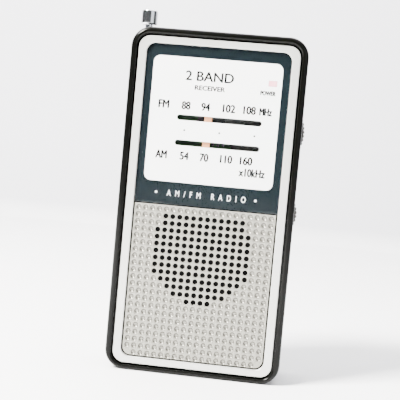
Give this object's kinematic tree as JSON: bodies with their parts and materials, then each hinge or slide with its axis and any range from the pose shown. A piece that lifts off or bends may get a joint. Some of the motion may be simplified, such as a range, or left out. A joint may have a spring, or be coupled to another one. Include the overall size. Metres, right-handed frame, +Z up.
{
  "type": "transistor pocket radio",
  "caption": "Pocket radio with slide-rule dial, punched metal grille, side thumbwheels for tuning and volume, and a telescopic antenna.",
  "frame": {"origin": "centre of the case where its flat base stands", "axes": "+Z up along the height, front faces -Y, +X to the right of someone who looks at the front"},
  "size_m": [0.0641, 0.025, 0.1304],
  "materials": {
    "case_black": "gloss",
    "bezel_silver": "satin",
    "lens_clear": "gloss",
    "dial_print": "satin",
    "grille_metal": "satin",
    "lamp_lens": "gloss",
    "wheel_black": "satin",
    "gear_white": "satin",
    "pointer_salmon": "satin",
    "steel": "satin",
    "chrome": "gloss",
    "brass": "satin",
    "magnet_grey": "satin",
    "cone_paper": "matte",
    "gasket_foam": "matte",
    "board_green": "satin",
    "chip_black": "matte",
    "cap_blue": "gloss",
    "resistor_tan": "satin",
    "ferrite": "matte",
    "copper_wire": "gloss",
    "holder_cream": "satin",
    "cell_wrap": "gloss",
    "jack_black": "satin",
    "phenolic": "satin"
  },
  "bodies": {
    "case": {"front_shell": "case_black", "rear_shell": "case_black", "case_screws": "steel", "bezel": "bezel_silver", "dial_lens": "lens_clear", "dial_sheet": "dial_print", "grille_plate": "grille_metal", "power_lamp": "lamp_lens", "speaker_gasket": "gasket_foam", "speaker_basket": "steel", "speaker_magnet": "magnet_grey", "speaker_clips": "steel", "speaker_screws": "steel", "circuit_board": "board_green", "board_screws": "steel", "audio_chip": "chip_black", "if_cans": "steel", "capacitors": "cap_blue", "resistors": "resistor_tan", "ferrite_rod": "ferrite", "ferrite_coil": "copper_wire", "ferrite_holders": "holder_cream", "tuning_capacitor": "holder_cream", "idler_pin": "steel", "guide_rods": "steel", "volume_control": "phenolic", "band_switch": "steel", "earphone_jack": "jack_black", "cell_left": "cell_wrap", "cell_right": "cell_wrap", "contact_plates": "steel", "contact_springs": "steel", "antenna_base": "chrome", "antenna_clip": "steel"},
    "tuning_drive": {"tuning_wheel": "wheel_black", "tuning_shaft": "brass", "tuning_screw": "steel"},
    "idler": {"idler_gear": "gear_white"},
    "pointer": {"pointer_carriage": "gear_white", "dial_pointer": "pointer_salmon"},
    "volume": {"volume_wheel": "wheel_black", "volume_shaft": "brass", "volume_screw": "steel"},
    "band": {"band_slider": "case_black"},
    "door": {"battery_door": "case_black"},
    "cone": {"speaker_cone": "cone_paper"},
    "antenna_1": {"antenna_section_1": "chrome"},
    "antenna_2": {"antenna_section_2": "chrome"},
    "antenna_3": {"antenna_section_3": "chrome"},
    "antenna_4": {"antenna_tip": "chrome", "antenna_knob": "chrome"}
  },
  "joints": [
    {"name": "tuning_turn", "type": "hinge", "parent": "case", "child": "tuning_drive", "pos_m": [0.0186, -0.0055, 0.09], "axis": [0, -1, 0], "range_deg": [-64, 115]},
    {"name": "idler_turn", "type": "hinge", "parent": "case", "child": "idler", "pos_m": [0.00188, -0.0057, 0.0916], "axis": [0, -1, 0], "range_deg": [-115.1, 64.1]},
    {"name": "pointer_slide", "type": "slide", "parent": "case", "child": "pointer", "axis": [1, 0, 0], "range_m": [-0.0094, 0.0169]},
    {"name": "volume_turn", "type": "hinge", "parent": "case", "child": "volume", "pos_m": [0.0236, -0.003, 0.061], "axis": [0, -1, 0], "range_deg": [0, 280]},
    {"name": "band_slide", "type": "slide", "parent": "case", "child": "band", "axis": [1, 0, 0], "range_m": [0, 0.003]},
    {"name": "door_slide", "type": "slide", "parent": "case", "child": "door", "axis": [0, 0, -1], "range_m": [0, 0.05]},
    {"name": "cone_travel", "type": "slide", "parent": "case", "child": "cone", "axis": [0, 1, 0], "range_m": [-0.0003, 0.0003], "stiffness_N_per_m": 2000},
    {"name": "antenna_slide_1", "type": "slide", "parent": "case", "child": "antenna_1", "axis": [0, 0, 1], "range_m": [0, 0.06]},
    {"name": "antenna_slide_2", "type": "slide", "parent": "antenna_1", "child": "antenna_2", "axis": [0, 0, 1], "range_m": [0, 0.06]},
    {"name": "antenna_slide_3", "type": "slide", "parent": "antenna_2", "child": "antenna_3", "axis": [0, 0, 1], "range_m": [0, 0.06]},
    {"name": "antenna_slide_4", "type": "slide", "parent": "antenna_3", "child": "antenna_4", "axis": [0, 0, 1], "range_m": [0, 0.06]}
  ],
  "couplings": [
    {"joint": "idler_turn", "follows": "tuning_turn", "ratio": -1},
    {"joint": "pointer_slide", "follows": "tuning_turn", "m_per_rad": 0.0084}
  ]
}
